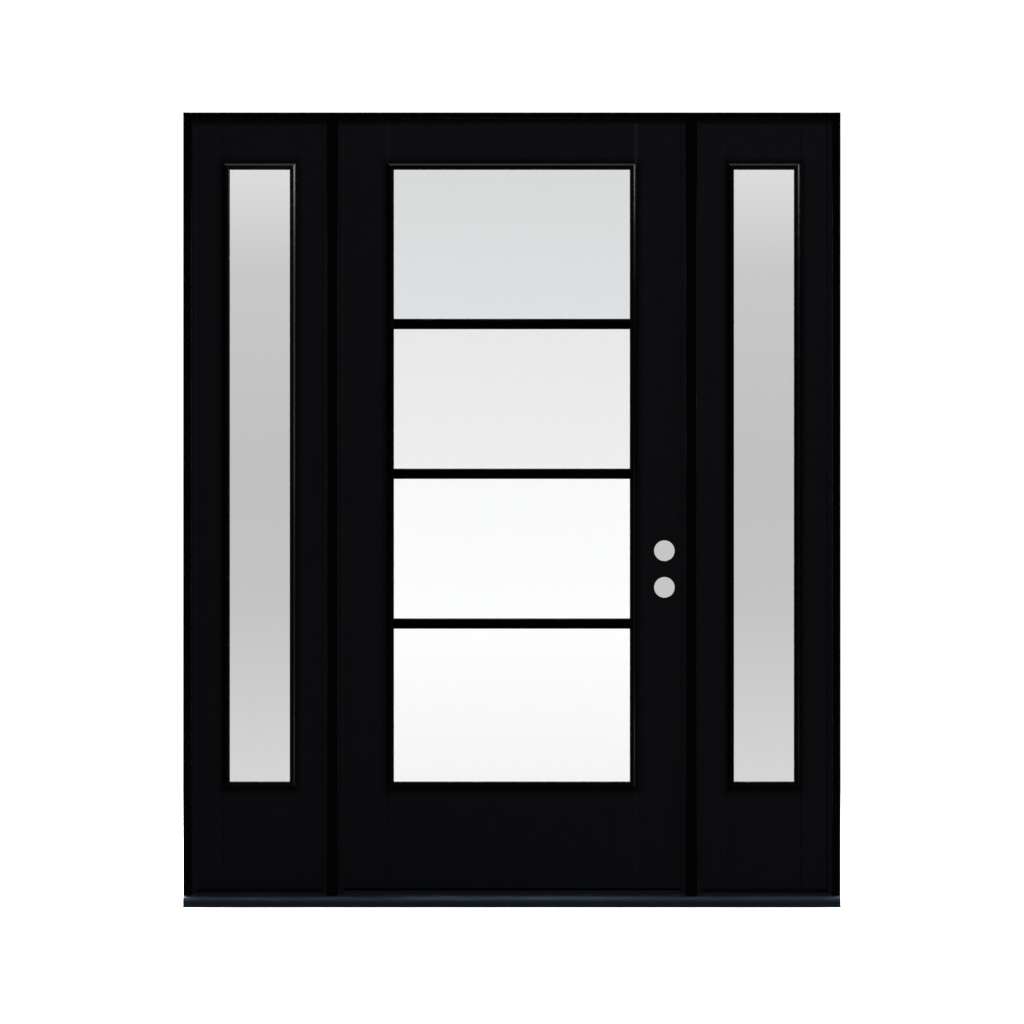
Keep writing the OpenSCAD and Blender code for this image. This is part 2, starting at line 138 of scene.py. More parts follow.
def noise(tree, place, scale, detail, roughness=0.5):
    inputs = {"Vector": place, "Scale": scale, "Detail": detail, "Roughness": roughness}
    return put(tree, "TexNoise", inputs).outputs["Fac"]


def straight_look(tree):
    """1 for a ray that has only been seen or passed through glass, else 0."""
    ray = put(tree, "LightPath").outputs
    bounces = calc(tree, "ADD", ray["Diffuse Depth"], ray["Glossy Depth"])
    through = calc(tree, "MULTIPLY", ray["Is Transmission Ray"], calc(tree, "LESS_THAN", bounces, 0.5))
    return calc(tree, "MAXIMUM", ray["Is Camera Ray"], through)


print("helpers ready: put, calc, ramp, blend_colours, here, noise, straight_look")

# %% [markdown]
# ## Backdrop
#
# The studio behind the unit is white, but less bright straight behind the glass, where it falls
# from a white floor to a greyer wall. A picture on a plane would have to be moved for each view.
# The world's own shader can do it by direction instead: only rays that look along the camera's
# line through the unit meet the greyer part. Reflections and soft light see a dim studio, so the
# black paint stays black.

# %% Values behind the glass
# Each stop is a height on the unit and the brightness behind it. The bars hide the three steps
# behind the door.
DOOR_BACKDROP = [
    (1.95, (0.827, 0.832, 0.835)), (1.535, (0.880, 0.889, 0.905)), (1.52, (0.966, 0.966, 0.965)),
    (1.14, (1.020, 1.022, 1.022)), (1.125, (1.129, 1.132, 1.130)), (0.75, (1.174, 1.178, 1.175)),
    (0.73, (1.182, 1.183, 1.181)), (0.30, (1.079, 1.080, 1.078)),
]
LIGHT_BACKDROP = [(1.95, 0.875), (1.66, 0.690), (1.15, 0.632), (0.80, 0.655), (0.30, 0.802)]
BORE_BACKDROP = 0.565
# The white beside the unit, and the dim studio that reflections and soft light see
STUDIO_WHITE = 1.04
STUDIO_GLOW = (0.0085, 0.0088, 0.0096)
print(len(DOOR_BACKDROP), "stops behind the door,", len(LIGHT_BACKDROP), "behind each sidelight")

# %% Build the world
RAMP_TOP = 2.0
BRIGHTEST = 1.25
# What counts as behind the unit, in metres on it, and what counts as ahead of the camera
UNIT_HALF_W, UNIT_TOP, UNIT_FOOT = 0.82, 2.02, 0.06
AHEAD = 0.9
# Past the first line lie the lock holes, past the second the sidelights
BORE_LINE, LIGHT_LINE = 0.36, 0.52


def height_ramp(tree, height, stops):
    rising = sorted(stops)
    scaled = []
    for place, tone in rising:
        tone = tone if isinstance(tone, tuple) else (tone, tone, tone)
        scaled.append((place / RAMP_TOP, tuple(v / BRIGHTEST for v in tone)))
    factor = calc(tree, "DIVIDE", height, RAMP_TOP)
    return ramp(tree, factor, scaled)


world = bpy.data.worlds.new("white_studio")
world.use_nodes = True
scene.world = world
sky = world.node_tree
sky.nodes.clear()
way = put(sky, "SeparateXYZ", {0: put(sky, "TexCoord").outputs["Generated"]})
ahead = calc(sky, "MAXIMUM", way.outputs["Y"], 0.0001)
across = calc(sky, "MULTIPLY", calc(sky, "DIVIDE", way.outputs["X"], ahead), camera_distance)
up = calc(sky, "MULTIPLY_ADD", calc(sky, "DIVIDE", way.outputs["Z"], ahead), camera_distance, VIEW_CENTRE.z)
aside = calc(sky, "ABSOLUTE", across)

in_width = calc(sky, "LESS_THAN", aside, UNIT_HALF_W)
behind_unit = calc(sky, "MULTIPLY", in_width, calc(sky, "LESS_THAN", up, UNIT_TOP))
behind_unit = calc(sky, "MULTIPLY", behind_unit, calc(sky, "GREATER_THAN", up, UNIT_FOOT))
behind_unit = calc(sky, "MULTIPLY", behind_unit, calc(sky, "GREATER_THAN", way.outputs["Y"], AHEAD))
past_door = calc(sky, "GREATER_THAN", aside, BORE_LINE)
past_lock = calc(sky, "GREATER_THAN", aside, LIGHT_LINE)

bore_tone = (BORE_BACKDROP / BRIGHTEST,) * 3 + (1,)
glass_tone = blend_colours(sky, past_door, height_ramp(sky, up, DOOR_BACKDROP), bore_tone)
glass_tone = blend_colours(sky, past_lock, glass_tone, height_ramp(sky, up, LIGHT_BACKDROP))
seen = blend_colours(sky, behind_unit, (STUDIO_WHITE / BRIGHTEST,) * 3 + (1,), glass_tone)
seen_light = put(sky, "Background", {"Color": seen, "Strength": BRIGHTEST})
dim_light = put(sky, "Background", {"Color": (*STUDIO_GLOW, 1), "Strength": 1.0})
either = put(sky, "MixShader", {0: straight_look(sky), 1: dim_light.outputs[0], 2: seen_light.outputs[0]})
put(sky, "OutputWorld", {"Surface": either.outputs[0]})
print("world nodes:", len(sky.nodes))

# %% [markdown]
# ## Floor
#
# The unit stands on a pale floor that melts into the white. A disc is enough: it is wide enough
# for any view and small enough that its far edge stays hidden behind the bottom rails. It glows a
# little for the camera, so it is white without a strong light that would also grey the black
# paint, and what is left of its shading is a faint contact shadow.

# %% Make the floor
FLOOR_RADIUS = 12.0
FLOOR_CORNERS = 96
FLOOR_DROP = 0.1 * MM
FLOOR_GLOW = 0.97


def floor_disc():
    pale_floor = bpy.data.materials.new("pale_floor")
    pale_floor.use_nodes = True
    tree = pale_floor.node_tree
    tree.nodes.clear()
    place = here(tree)
    grain = noise(tree, place, 60.0, 4.0)
    tone = ramp(tree, grain, [(0.3, 0.78), (0.7, 0.82)])
    matt = put(tree, "BsdfDiffuse", {"Color": tone})
    glow = put(tree, "Emission", {"Color": (1, 1, 1, 1), "Strength": FLOOR_GLOW})
    both = put(tree, "AddShader", {0: matt.outputs[0], 1: glow.outputs[0]})
    dim = put(tree, "BsdfDiffuse", {"Color": (0.04, 0.04, 0.043, 1)})
    either = put(tree, "MixShader", {0: straight_look(tree), 1: dim.outputs[0], 2: both.outputs[0]})
    put(tree, "OutputMaterial", {"Surface": either.outputs[0]})

    mesh = bpy.data.meshes.new("floor")
    turns = [2 * math.pi * i / FLOOR_CORNERS for i in range(FLOOR_CORNERS)]
    rim = [(FLOOR_RADIUS * math.cos(a), FLOOR_RADIUS * math.sin(a), -FLOOR_DROP) for a in turns]
    mesh.from_pydata(rim, [], [list(range(FLOOR_CORNERS))])
    mesh.materials.append(pale_floor)
    disc = bpy.data.objects.new("floor", mesh)
    scene.collection.objects.link(disc)
    return disc


floor = floor_disc()
print("floor radius", FLOOR_RADIUS, "m")

# %% [markdown]
# ## Lights
#
# In the photograph the upper and the right slopes of the raised mouldings are bright and the lower
# and left ones are black, and the slabs have a soft dark line below and to the left of each
# moulding. So the main light comes from high up on the right, close to the plane of the door. It
# is large and far away, so the slabs have one even tone, and light linking keeps it off the frame,
# which is blacker, and keeps the deep frame from throwing broad shadows on the slabs. Small
# softboxes beside and above each light draw the highlights on its moulding, an arch of panels
# draws the soft gradient on the nose of the sill, and two plain softboxes high behind the unit
# light its ends and its inside face, for views from there. The brighter one leaves out the head,
# whose top would glare at a flat angle.

# %% Sets of solids that the lights are linked to
UPRIGHTS = ["left_jamb", "right_jamb", "head_jamb", "left_mullion", "right_mullion"]
STOPS = ["door_stops", "left_light_stops", "right_light_stops"]
BARS = ["door_outside_bars", "door_inside_bars"]
LIGHTS = ["door", "left_light", "right_light"]


def linked_set(name, members, state="INCLUDE"):
    made = bpy.data.collections.new(name)
    for member in members:
        made.objects.link(frame["nodes"][member])
    for link in made.collection_objects:
        link.light_linking.link_state = state
    return made


OUTSIDE_MOULDINGS = [n + "_outside_moulding" for n in LIGHTS]
lit_apart = linked_set("lit_apart", UPRIGHTS + BARS + OUTSIDE_MOULDINGS + ["sill_deck"], "EXCLUDE")
no_frame_shadow = linked_set("no_shadow_of_the_frame", UPRIGHTS + STOPS + ["door_seal"], "EXCLUDE")
deck_part = linked_set("deck", ["sill_deck"])
below_head = linked_set("below_the_head", ["head_jamb"], "EXCLUDE")
moulding_parts = {n: linked_set(n + "_trim_part", [n + "_outside_moulding"]) for n in LIGHTS}

# %% A softbox: a rectangle that glows evenly
def soft_light(name, place, aim, size, brightness, tint=(1, 1, 1), lights=None, shaded_by=None):
    data = bpy.data.lights.new(name, "AREA")
    data.shape = "RECTANGLE"
    data.size, data.size_y = size
    data.energy = brightness * math.pi * size[0] * size[1]
    data.color = tint
    lamp = bpy.data.objects.new(name, data)
    lamp.location = place
    lamp.rotation_euler = (Vector(aim) - Vector(place)).to_track_quat("-Z", "Y").to_euler()
    lamp.visible_camera = False
    lamp.visible_transmission = False
    lamp.light_linking.receiver_collection = lights
    lamp.light_linking.blocker_collection = shaded_by
    scene.collection.objects.link(lamp)


print("helper ready: soft_light")

# %% The main light and the two behind the unit
KEY_WAY = Vector((0.42, -0.35, 0.837))
KEY_FAR = 14.0
KEY_SIZE = (5.6, 5.6)
KEY_BRIGHTNESS = 15.4
MIDDLE = (0, 0, 1.0)

soft_light("high_right_softbox", VIEW_CENTRE + KEY_FAR * KEY_WAY, VIEW_CENTRE, KEY_SIZE, KEY_BRIGHTNESS,
           tint=(0.95, 0.98, 1.0), lights=lit_apart, shaded_by=no_frame_shadow)
soft_light("inside_left_softbox", (-3.4, 4.0, 6.0), MIDDLE, (5.2, 5.2), 20.0, lights=below_head)
soft_light("inside_right_softbox", (4.2, 3.0, 5.2), MIDDLE, (3.4, 4.8), 12.0)
print("main light", KEY_FAR, "m away")

# %% Softboxes beside and above each moulding
# Each row: the light, the heights that the softbox beside it spans, and the brightness
BESIDE = [
    ("left_light", 1.88, 2.45, 14.0), ("left_light", 1.10, 1.88, 1.4),
    ("left_light", 0.30, 1.25, 0.55), ("left_light", 0.30, 0.48, 0.8),
    ("door", 1.88, 2.45, 8.0), ("door", 0.55, 1.20, 0.22), ("door", 0.33, 0.47, 1.7),
    ("right_light", 1.91, 2.45, 9.0), ("right_light", 0.35, 1.80, 0.2), ("right_light", 0.33, 0.50, 0.5),
]
# How far each softbox stands beyond the moulding's edge and before the door, and its width
BESIDE_BY, BESIDE_BEFORE, BESIDE_W = 0.66, 0.47, 0.36
ABOVE = {"left_light": 1.6, "door": 1.5, "right_light": 1.45}
ABOVE_BY, ABOVE_BEFORE, ABOVE_W = 0.72, 0.34, 0.36

for light, low, high, brightness in BESIDE:
    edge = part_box(light + "_outside_moulding")[1].x
    middle = (low + high) / 2
    soft_light(f"{light}_side_softbox_{low}_{high}", (edge + BESIDE_BY, -BESIDE_BEFORE, middle),
               (edge, 0, middle), (BESIDE_W, high - low), brightness,
               lights=moulding_parts[light], shaded_by=no_frame_shadow)
for light, brightness in ABOVE.items():
    low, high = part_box(light + "_outside_moulding")
    middle = (low.x + high.x) / 2
    soft_light(light + "_top_softbox", (middle, -ABOVE_BEFORE, high.z + ABOVE_BY), (middle, 0, high.z),
               (high.x - low.x + ABOVE_W, ABOVE_W), brightness,
               lights=moulding_parts[light], shaded_by=no_frame_shadow)
print("softboxes beside:", len(BESIDE), "above:", len(ABOVE))

# %% The arch of panels over the sill's nose
ARCH_CENTRE = Vector((0, -0.07, 0.02))
ARCH_RADIUS = 1.6
PANEL_W = 4.0
# Each row: the panel's angle above the floor, the angle that it spans, and the brightness
ARCH = [(99, 26, 0.24), (73, 26, 0.085), (46, 28, 0.072), (15, 34, 0.036)]

for angle, span, brightness in ARCH:
    turn = math.radians(angle)
    place = ARCH_CENTRE + ARCH_RADIUS * Vector((0, -math.cos(turn), math.sin(turn)))
    height = 2 * ARCH_RADIUS * math.tan(math.radians(span / 2))
    soft_light(f"sill_panel_{angle}", place, ARCH_CENTRE, (PANEL_W, height), brightness,
               tint=(0.85, 0.93, 1.0), lights=deck_part, shaded_by=deck_part)
print("panels over the sill:", len(ARCH))

# %% [markdown]
# ## Effects that several finishes share
#
# Paint has a fine roller texture, edges wear, flat ledges gather dust, metal is drawn and wood has
# fibre. Each of these is a node group with named inputs and outputs, built once. A group puts out
# only colours, masks and heights, and each material feeds them to its own shader, so one effect
# can look different on each finish. All of them read Object coordinates, which are real metres
# here, so the grain has its true size on every piece and swings with the door.

# %% Helper for node groups
def new_group(name, inputs, outputs):
    tree = bpy.data.node_groups.new(name, "ShaderNodeTree")
    for side, sockets in (("INPUT", inputs), ("OUTPUT", outputs)):
        for label, kind, *start in sockets:
            socket = tree.interface.new_socket(name=label, in_out=side, socket_type="NodeSocket" + kind)
            if start:
                socket.default_value = start[0]
    return tree, tree.nodes.new("NodeGroupInput"), tree.nodes.new("NodeGroupOutput")


def use_group(tree, group, **values):
    node = tree.nodes.new("ShaderNodeGroup")
    node.node_tree = group
    for label, value in values.items():
        socket = node.inputs[label.replace("_", " ")]
        if isinstance(value, bpy.types.NodeSocket):
            tree.links.new(value, socket)
        else:
            socket.default_value = value
    return node


print("helpers ready: new_group, use_group")

# %% Paint texture: roller stipple, slow tone changes and uneven sheen
def make_paint_skin():
    tree, inn, out = new_group(
        "paint skin",
        [("Tone", "Color"), ("Spread", "Float", 0.1), ("Stipple", "Float", 600.0), ("Sheen", "Float", 0.4)],
        [("Colour", "Color"), ("Roughness", "Float"), ("Height", "Float")])
    place = here(tree)
    slow = noise(tree, place, 2.2, 3.0)
    fine = noise(tree, place, 45.0, 3.0)
    wander = calc(tree, "ADD", calc(tree, "MULTIPLY", calc(tree, "SUBTRACT", slow, 0.5), 2.0),
                  calc(tree, "SUBTRACT", fine, 0.5))
    gain = calc(tree, "MULTIPLY_ADD", wander, inn.outputs["Spread"], 1.0)
    tone = put(tree, "VectorMath", {0: inn.outputs["Tone"], "Scale": gain}, operation="SCALE").outputs[0]
    stipple = noise(tree, place, inn.outputs["Stipple"], 2.0, 0.4)
    cells = put(tree, "TexVoronoi", {"Vector": place, "Scale": 260.0}, feature="SMOOTH_F1")
    height = calc(tree, "MULTIPLY_ADD", cells.outputs["Distance"], 0.35, stipple)
    sheen = calc(tree, "MULTIPLY_ADD", calc(tree, "SUBTRACT", fine, 0.5), 0.10, inn.outputs["Sheen"])
    tree.links.new(tone, out.inputs["Colour"])
    tree.links.new(sheen, out.inputs["Roughness"])
    tree.links.new(height, out.inputs["Height"])
    return tree


paint_skin = make_paint_skin()
print("group:", paint_skin.name)

# %% Worn edges: where a rounded copy of the surface turns away from the real one
def make_edge_wear():
    tree, inn, out = new_group(
        "edge wear", [("Width", "Float", 0.001), ("Reach", "Float", 0.5)],
        [("Mask", "Float"), ("Normal", "Vector")])
    rounded = put(tree, "Bevel", {"Radius": inn.outputs["Width"]}, samples=4).outputs["Normal"]
    sharp = put(tree, "NewGeometry").outputs["Normal"]
    match = put(tree, "VectorMath", {0: rounded, 1: sharp}, operation="DOT_PRODUCT").outputs["Value"]
    turned = calc(tree, "MULTIPLY", calc(tree, "SUBTRACT", 1.0, match), 7.0, clamp=True)
    place = here(tree)
    patches = noise(tree, place, 38.0, 5.0)
    limit = calc(tree, "SUBTRACT", 1.0, inn.outputs["Reach"])
    rubbed = calc(tree, "MULTIPLY", calc(tree, "SUBTRACT", patches, limit), 6.0, clamp=True)
    tree.links.new(calc(tree, "MULTIPLY", turned, rubbed), out.inputs["Mask"])
    tree.links.new(rounded, out.inputs["Normal"])
    return tree


edge_wear = make_edge_wear()
print("group:", edge_wear.name)

# %% Dust: on whatever faces up, thicker in patches
def make_settled_dust():
    tree, inn, out = new_group("settled dust", [("Amount", "Float", 0.3)], [("Mask", "Float")])
    facing = put(tree, "SeparateXYZ", {0: put(tree, "NewGeometry").outputs["Normal"]}).outputs["Z"]
    level = put(tree, "MapRange", {0: facing, 1: 0.55, 2: 1.0, 3: 0.0, 4: 1.0}).outputs[0]
    place = here(tree)
    patches = noise(tree, place, 24.0, 6.0)
    specks = noise(tree, place, 900.0, 2.0)
    cover = calc(tree, "MULTIPLY", calc(tree, "MULTIPLY_ADD", specks, 0.6, patches), inn.outputs["Amount"])
    tree.links.new(calc(tree, "MULTIPLY", cover, level, clamp=True), out.inputs["Mask"])
    return tree


settled_dust = make_settled_dust()
print("group:", settled_dust.name)

# %% Drawn lines: fine streaks along the length of a metal section
def make_drawn_lines():
    tree, inn, out = new_group(
        "drawn lines", [("Along", "Vector"), ("Fineness", "Float", 900.0)],
        [("Streak", "Float"), ("Height", "Float")])
    place = here(tree)
    squeezed = put(tree, "VectorMath", {0: place, 1: inn.outputs["Along"]}, operation="MULTIPLY").outputs[0]
    wide = noise(tree, squeezed, 160.0, 3.0)
    thin = noise(tree, squeezed, inn.outputs["Fineness"], 2.0)
    streak = calc(tree, "MULTIPLY_ADD", wide, 0.5, calc(tree, "MULTIPLY", thin, 0.5))
    tree.links.new(streak, out.inputs["Streak"])
    height = calc(tree, "MULTIPLY_ADD", thin, 0.7, calc(tree, "MULTIPLY", wide, 0.3))
    tree.links.new(height, out.inputs["Height"])
    return tree


drawn_lines = make_drawn_lines()
print("group:", drawn_lines.name)

# %% [markdown]
# ## Painted shade and painted highlights on a slab
#
# Round each raised moulding the slab is painted darker and a little glossier: a painted shade
# that stands in for the soft shadow there. Over the upright joints of the door's rails a faint
# paler line is painted: a painted highlight where light catches the joint. Both follow from
# where a point is, so their masks are worked out from the boxes of the mouldings and of the rails.

# %% Mask of the painted shade round the mouldings
# How far the painted shade reaches out from a moulding's edge
SHADE_REACH = 19 * MM


def make_moulding_painted_shade():
    tree, inn, out = new_group("moulding painted shade", [("Reach", "Float", SHADE_REACH)], [("Mask", "Float")])
    place = put(tree, "SeparateXYZ", {0: here(tree)}).outputs
    nearest = 1.0
    for light in LIGHTS:
        low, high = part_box(light + "_outside_moulding")
        from_sides = []
        for axis, start, end in (("X", low.x, high.x), ("Z", low.z, high.z)):
            off = calc(tree, "ABSOLUTE", calc(tree, "SUBTRACT", place[axis], (start + end) / 2))
            from_sides.append(calc(tree, "SUBTRACT", off, (end - start) / 2))
        nearest = calc(tree, "MINIMUM", nearest, calc(tree, "MAXIMUM", *from_sides))
    away = calc(tree, "DIVIDE", nearest, inn.outputs["Reach"], clamp=True)
    tree.links.new(calc(tree, "SUBTRACT", 1.0, away), out.inputs["Mask"])
    return tree


moulding_painted_shade = make_moulding_painted_shade()
print("group:", moulding_painted_shade.name)

# %% Mask of the painted highlight over the door's rail joints
# Half the width of the painted highlight over each joint
HIGHLIGHT_HALF = 5 * MM
# How strong the painted highlight is at the top and the bottom rail, on the hinge side and on the lock side
HIGHLIGHT_SHOWS = ((0.4, 0.0), (1.0, 0.25))


def make_joint_painted_highlight():
    tree, inn, out = new_group("joint painted highlight", [("Half width", "Float", HIGHLIGHT_HALF)], [("Mask", "Float")])
    place = put(tree, "SeparateXYZ", {0: here(tree)}).outputs
    rail_low, rail_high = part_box("door_top_rail")
    bottom_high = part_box("door_bottom_rail")[1]
    above = calc(tree, "GREATER_THAN", place["Z"], rail_low.z + 1 * MM)
    below = calc(tree, "LESS_THAN", place["Z"], bottom_high.z - 1 * MM)
    mask = 0.0
    for joint, (upper, lower) in zip((rail_low.x, rail_high.x), HIGHLIGHT_SHOWS):
        off = calc(tree, "ABSOLUTE", calc(tree, "SUBTRACT", place["X"], joint))
        share = calc(tree, "DIVIDE", off, inn.outputs["Half width"])
        near = calc(tree, "SUBTRACT", 1.0, share, clamp=True)
        reach = calc(tree, "MULTIPLY_ADD", above, upper, calc(tree, "MULTIPLY", below, lower))
        mask = calc(tree, "ADD", mask, calc(tree, "MULTIPLY", near, reach))
    tree.links.new(mask, out.inputs["Mask"])
    return tree


joint_painted_highlight = make_joint_painted_highlight()
print("group:", joint_painted_highlight.name)

# %% [markdown]
# ## Bare wood in the drilled holes
#
# The lock holes and the recesses for face plates are cut after painting, so their walls show raw
# wood. A second material on some faces would need the solid's mesh to be edited, so the mask is
# computed from the place instead: a point is raw if it is nearer to a hole's axis than the
# hole's radius, or inside a recess.

# %% Find the holes from the record's mounts
mounts = {m["name"]: m for m in frame["record"]["mounts"]}
bore_centres = [Vector(mounts[n]["pos_m"]) for n in ("latch_bore", "bolt_bore")]
BORE_RADIUS = mounts["latch_bore"]["dims"]["r_mm"] * MM
EDGE_RADIUS = mounts["latch_edge_hole"]["dims"]["r_mm"] * MM
door_lock_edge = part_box("door_lock_stile")[1].x
mullion_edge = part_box("right_mullion")[0].x
CUT_MARGIN = 0.2 * MM
RECESS_HALF_H, RECESS_HALF_W = 28.7 * MM, 13.2 * MM
# The recess in the door lies within this band of its edge, and its floor this deep
RECESS_BAND, RECESS_DEPTH = 6 * MM, 1.35 * MM
EDGE_LEAN = 2.3 / 44.5
print("holes at", [tuple(round(v, 4) for v in c) for c in bore_centres])

# %% Raw wood: the mask of the holes and the fibre that shows in them
def make_raw_wood():
    tree, inn, out = new_group(
        "raw wood in holes", [("Mask reach", "Float", 1.0)],
        [("Mask", "Float"), ("Colour", "Color"), ("Height", "Float")])

    def within(a, b, radius):
        squares = calc(tree, "ADD", calc(tree, "MULTIPLY", a, a), calc(tree, "MULTIPLY", b, b))
        return calc(tree, "LESS_THAN", squares, radius * radius)

    place = here(tree)
    masks = []
    for centre in bore_centres:
        from_hole = put(tree, "VectorMath", {0: place, 1: centre}, operation="SUBTRACT").outputs[0]
        part = put(tree, "SeparateXYZ", {0: from_hole}).outputs
        round_hole = within(part["X"], part["Z"], BORE_RADIUS + CUT_MARGIN)
        edge_hole = within(part["Y"], part["Z"], EDGE_RADIUS + CUT_MARGIN)
        in_height = calc(tree, "LESS_THAN", calc(tree, "ABSOLUTE", part["Z"]), RECESS_HALF_H)
        in_width = calc(tree, "LESS_THAN", calc(tree, "ABSOLUTE", part["Y"]), RECESS_HALF_W)
        # The recess's walls and floor lie between the door's leaning edge and the mullion's face
        lean = calc(tree, "MULTIPLY", part["Y"], EDGE_LEAN)
        edge = calc(tree, "ADD", lean, door_lock_edge - centre.x - RECESS_DEPTH)
        in_door = calc(tree, "LESS_THAN", part["X"], edge)
        in_mullion = calc(tree, "GREATER_THAN", part["X"], mullion_edge - centre.x + CUT_MARGIN)
        near_edge = calc(tree, "GREATER_THAN", part["X"], door_lock_edge - centre.x - RECESS_BAND)
        cut = calc(tree, "MULTIPLY", calc(tree, "MULTIPLY", in_height, in_width),
                   calc(tree, "MULTIPLY", calc(tree, "MAXIMUM", in_door, in_mullion), near_edge))
        masks += [round_hole, edge_hole, cut]
    whole = masks[0]
    for mask in masks[1:]:
        whole = calc(tree, "MAXIMUM", whole, mask)
    whole = calc(tree, "MULTIPLY", whole, inn.outputs["Mask reach"])
    long_grain = put(tree, "VectorMath", {0: place, 1: (1.0, 1.0, 0.06)}, operation="MULTIPLY").outputs[0]
    fibre = noise(tree, long_grain, 420.0, 5.0)
    rings = noise(tree, long_grain, 90.0, 2.0)
    tone = calc(tree, "MULTIPLY_ADD", fibre, 0.6, calc(tree, "MULTIPLY", rings, 0.4))
    wood = ramp(tree, tone, [
        (0.30, (0.22, 0.125, 0.062)), (0.52, (0.40, 0.26, 0.145)), (0.72, (0.52, 0.37, 0.22))])
    tree.links.new(whole, out.inputs["Mask"])
    tree.links.new(wood, out.inputs["Colour"])
    tree.links.new(fibre, out.inputs["Height"])
    return tree


raw_wood = make_raw_wood()
print("group:", raw_wood.name)

# %% [markdown]
# ## Finishes
#
# Each finish is one material with a Principled BSDF. `start_finish` makes the material and its
# shader with the values that are the same all over, and `end_finish` wires in what varies. The
# Bevel node behind the bump also rounds the sharp edges of the solids by a fraction of a
# millimetre, so they catch a thin line of light as real edges do.

# %% Helpers for materials
def start_finish(name, **shader_values):
    material = bpy.data.materials.new(name)
    material.use_nodes = True
    tree = material.node_tree
    tree.nodes.clear()
    shader = put(tree, "BsdfPrincipled", {k.replace("_", " "): v for k, v in shader_values.items()})
    put(tree, "OutputMaterial", {"Surface": shader.outputs[0]})
    return material, tree, shader


def end_finish(tree, shader, colour, rough, height, strength, depth, soft=None):
    soft = soft or put(tree, "Bevel", {"Radius": 0.4 * MM}, samples=4).outputs["Normal"]
    bump = put(tree, "Bump", {"Height": height, "Strength": strength, "Distance": depth, "Normal": soft})
    wires = {"Base Color": colour, "Roughness": rough, "Normal": bump.outputs["Normal"]}
    for name, output in wires.items():
        tree.links.new(output, shader.inputs[name])


DUST = (0.16, 0.155, 0.145, 1)
# How far below the head the stops' painted shade reaches
HEAD_SHADE_DEPTH = 16 * MM
print("helpers ready: start_finish, end_finish")

# %% Paint: one recipe for the slabs and stops and one, duller, for the frame
# The stops are painted darker and glossier just below the head: a painted shade that stands in for the
# head's shadow.
def paint(name, tone, sheen, spread, specular, worn_tone, dust, drilled=False, slab=False, head_z=None):
    material, tree, shader = start_finish(name, Specular_IOR_Level=specular)
    skin = use_group(tree, paint_skin, Tone=(*tone, 1), Spread=spread, Sheen=sheen)
    wear = use_group(tree, edge_wear, Width=0.7 * MM, Reach=0.42)
    colour, rough, height = (skin.outputs[n] for n in ("Colour", "Roughness", "Height"))
    if slab:
        # Painted shade round the mouldings: the colour is darkened and the roughness lowered
        corner = use_group(tree, moulding_painted_shade).outputs["Mask"]
        shade = calc(tree, "MULTIPLY_ADD", corner, -0.6, 1.0)
        colour = put(tree, "VectorMath", {0: colour, "Scale": shade}, operation="SCALE").outputs[0]
        rough = calc(tree, "MULTIPLY_ADD", corner, -0.14, rough)
        # Painted highlight: a paler line over the rail joints
        joint_highlight = use_group(tree, joint_painted_highlight).outputs["Mask"]
        colour = blend_colours(tree, joint_highlight, colour, (*JOINT_HIGHLIGHT_TONE, 1))
    # Painted shade below the head: the colour is darkened and the roughness lowered
    if head_z:
        rise = put(tree, "SeparateXYZ", {0: here(tree)}).outputs["Z"]
        shade_range = {0: rise, 1: head_z - HEAD_SHADE_DEPTH, 2: head_z, 3: 1.0, 4: 0.0}
        shade = put(tree, "MapRange", shade_range).outputs[0]
        colour = put(tree, "VectorMath", {0: colour, "Scale": shade}, operation="SCALE").outputs[0]
        rough = calc(tree, "ADD", rough, calc(tree, "MULTIPLY_ADD", shade, 0.2, -0.2))
    colour = blend_colours(tree, calc(tree, "MULTIPLY", wear.outputs["Mask"], 0.5), colour, (*worn_tone, 1))
    dusty = use_group(tree, settled_dust, Amount=dust).outputs["Mask"]
    colour = blend_colours(tree, dusty, colour, DUST)
    rough = calc(tree, "MULTIPLY_ADD", dusty, 0.4, rough)
    if drilled:
        wood = use_group(tree, raw_wood)
        colour = blend_colours(tree, wood.outputs["Mask"], colour, wood.outputs["Colour"])
        rough = calc(tree, "MULTIPLY_ADD", wood.outputs["Mask"], 0.3, rough, clamp=True)
        height = calc(tree, "MULTIPLY_ADD", wood.outputs["Mask"], wood.outputs["Height"], height)
    end_finish(tree, shader, colour, rough, height, 0.25, 0.12 * MM, wear.outputs["Normal"])
    return material


SLAB_BLACK = (0.0060, 0.0063, 0.0084)
FRAME_BLACK = (0.0050, 0.0050, 0.0056)
# The colour of the painted highlight over the rail joints
JOINT_HIGHLIGHT_TONE = (0.030, 0.030, 0.032)
HEAD_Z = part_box("head_jamb")[0].z
slab_look = {
    "tone": SLAB_BLACK, "sheen": 0.46, "spread": 0.10, "specular": 0.27,
    "worn_tone": (0.03, 0.031, 0.034), "dust": 0.20}
frame_look = {
    "tone": FRAME_BLACK, "sheen": 0.55, "spread": 0.15, "specular": 0.25,
    "worn_tone": (0.014, 0.014, 0.015), "dust": 0.12}
slab_paint = paint("slab_paint", slab=True, **slab_look)
slab_paint_drilled = paint("slab_paint_drilled", slab=True, drilled=True, **slab_look)
stop_paint = paint("stop_paint", head_z=HEAD_Z, **{**slab_look, "worn_tone": SLAB_BLACK})
frame_paint = paint("frame_paint", **frame_look)
frame_paint_drilled = paint("frame_paint_drilled", drilled=True, **frame_look)
print("paints:", slab_paint.name, stop_paint.name, frame_paint.name, "and two drilled copies")

# %% [markdown]
# ## Trim, composite, rubber and metal
#
# The mouldings and bars are moulded plastic: smoother than paint, with a faint grain from the
# mould. The sill's core and its cap are a dark composite with specks in it. The seals are rubber
# and the hinges are coated steel that is rubbed bright at its edges. They are close in colour, so
# what tells them apart is sheen and texture.

